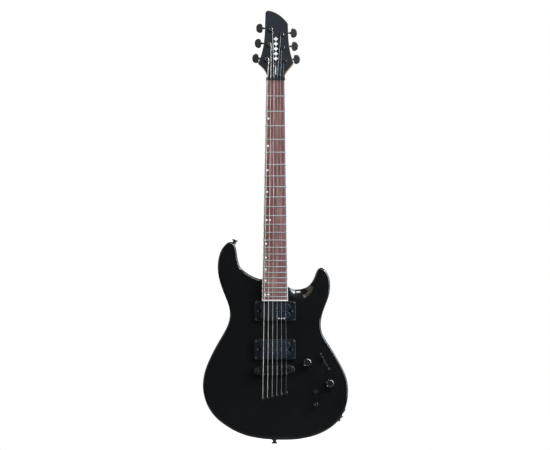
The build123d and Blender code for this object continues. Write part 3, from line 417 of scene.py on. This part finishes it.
# The mark sits on the knob's rounded rim, this far to the left of its middle and below it.
KNOB_MARK = (6.0, 6.2)
KNOB_MARK_RADIUS = 1.1
RIM_REACH = math.hypot(*KNOB_MARK) - (KNOB_RADIUS - KNOB_EASE)
KNOB_MARK_Y = KNOB_FACE + KNOB_EASE - math.sqrt(KNOB_EASE ** 2 - RIM_REACH ** 2)


def add_piece(name, mesh, frame_matrix, material, body):
    piece = bpy.data.objects.new(name, mesh)
    piece.matrix_world = frame_matrix
    mesh.materials.append(material)
    bpy.context.scene.collection.objects.link(piece)
    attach(piece, body)


def inlay_mesh(name, outlines, back, front):
    """Thin plates: each outline is a ring of (x, z) in mm, drawn from depth back to depth front."""
    work = bmesh.new()
    for outline in outlines:
        near = [work.verts.new((x * MM, front * MM, z * MM)) for x, z in outline]
        far = [work.verts.new((x * MM, back * MM, z * MM)) for x, z in outline]
        work.faces.new(near)
        work.faces.new(far[::-1])
        for index in range(len(outline)):
            after = (index + 1) % len(outline)
            work.faces.new((near[after], near[index], far[index], far[after]))
    bmesh.ops.recalc_face_normals(work, faces=work.faces)
    mesh = bpy.data.meshes.new(name)
    work.to_mesh(mesh)
    work.free()
    return mesh


def disc(x, z, radius, count=24):
    turns = [2 * math.pi * index / count for index in range(count)]
    return [(x + radius * math.cos(turn), z + radius * math.sin(turn)) for turn in turns]


def lozenge(x, z, half_width, half_height, waist):
    """A diamond whose four sides bow inward by waist, or outward where it is negative."""
    corners = [(0, half_height), (half_width, 0), (0, -half_height), (-half_width, 0)]
    ring = []
    for index, (corner_x, corner_z) in enumerate(corners):
        next_x, next_z = corners[(index + 1) % 4]
        for share in (0.0, 0.25, 0.5, 0.75):
            bow = 1 - waist * 4 * share * (1 - share)
            ring.append((
                x + (corner_x + (next_x - corner_x) * share) * bow,
                z + (corner_z + (next_z - corner_z) * share) * bow,
            ))
    return ring


def rail(x, z, heading, offset, half_length, half_width):
    """A narrow strip beside the line through (x, z) at the given heading."""
    along = Vector((math.cos(heading), math.sin(heading)))
    across = Vector((-along.y, along.x))
    middle = Vector((x, z)) + across * offset
    corners = [(1, 1), (-1, 1), (-1, -1), (1, -1)]
    return [tuple(middle + along * half_length * end + across * half_width * edge) for end, edge in corners]


def pearl():
    paint = Paint("pearl", (0.85, 0.86, 0.88), 0.22, coat=0.5)
    swirl = paint.noise(5.5, stretch=(1, 1, 0.6), detail=5, distortion=2.4)
    tint = paint.noise(3.0, detail=3, distortion=1.0)
    base = paint.ramp(swirl, [
        (0.3, (0.62, 0.66, 0.70)), (0.5, (0.88, 0.89, 0.90)), (0.7, (0.96, 0.95, 0.92)),
    ])
    base = paint.mix(paint.spread(tint, 0.0, 0.25), base, (0.70, 0.78, 0.84))
    paint.colour(base)
    return paint.rough(paint.spread(swirl, 0.16, 0.32)).material


def add_headstock_inlay(shell):
    """A column of pearl lozenges up the middle of the headstock."""
    outlines = [
        lozenge(LOZENGE_X, LOZENGE_START + LOZENGE_PITCH * place, *LOZENGE_HALF_SIZE, LOZENGE_WAIST)
        for place in range(LOZENGE_COUNT)
    ]
    mesh = inlay_mesh("headstock_inlay", outlines, 0.0, -INLAY_PROUD)
    add_piece("headstock_inlay", mesh, HEAD, shell, "instrument")


def add_cover_stripe(shell):
    """A slim pointed stripe on the truss rod cover, clear of its screws."""
    outline = lozenge(*STRIPE_PLACE, *STRIPE_HALF_SIZE, -STRIPE_BULGE)
    mesh = inlay_mesh("cover_stripe", [outline], COVER_FACE, COVER_FACE - INLAY_PROUD)
    add_piece("cover_stripe", mesh, HEAD, shell, "instrument")


def add_painted_slot_highlight():
    """Pale strips along both sides of the selector's slot: a painted highlight of the slot's edge."""
    (low_x, low_z), (high_x, high_z) = SELECTOR_ENDS
    middle_x, middle_z = (low_x + high_x) / 2, (low_z + high_z) / 2
    heading = math.atan2(high_z - low_z, high_x - low_x)
    half_size = (SLOT_HIGHLIGHT_HALF_LENGTH, SLOT_HIGHLIGHT_HALF_WIDTH)
    rails = [
        rail(middle_x, middle_z, heading, side * SLOT_HIGHLIGHT_OFFSET, *half_size) for side in (-1, 1)
    ]
    mesh = inlay_mesh("painted_slot_highlight", rails, BODY_FACE, BODY_FACE - SLOT_HIGHLIGHT_PROUD)
    add_piece("painted_slot_highlight", mesh, FLAT, MATERIALS["painted_slot_highlight"], "instrument")


def add_pickup_dots(shell):
    """Three small dots on the neck pickup."""
    outlines = [disc(x, PICKUP_DOT_Z, PICKUP_DOT_RADIUS) for x in PICKUP_DOT_XS]
    mesh = inlay_mesh("pickup_dots", outlines, PICKUP_FACE, PICKUP_FACE - PICKUP_DOT_PROUD)
    add_piece("pickup_dots", mesh, FLAT, shell, "neck_pickup_body")


def add_knob_marks(shell):
    """A pale pointer dot on the rounded rim of each knob."""
    for body, (x, z) in KNOBS.items():
        work = bmesh.new()
        bmesh.ops.create_uvsphere(work, u_segments=16, v_segments=10, radius=KNOB_MARK_RADIUS * MM)
        for face in work.faces:
            face.smooth = True
        mesh = bpy.data.meshes.new(body + "_mark")
        work.to_mesh(mesh)
        work.free()
        place = Matrix.Translation(((x - KNOB_MARK[0]) * MM, KNOB_MARK_Y * MM, (z - KNOB_MARK[1]) * MM))
        add_piece(body + "_mark", mesh, place, shell, body)


# ---- build --------------------------------------------------------------------------------------
bpy.context.scene.view_settings.view_transform = "Standard"
make_camera()
make_world()
make_floor()
make_lights()
dress_cad_nodes()
shell = pearl()
add_headstock_inlay(shell)
add_cover_stripe(shell)
add_painted_slot_highlight()
add_pickup_dots(shell)
add_knob_marks(shell)
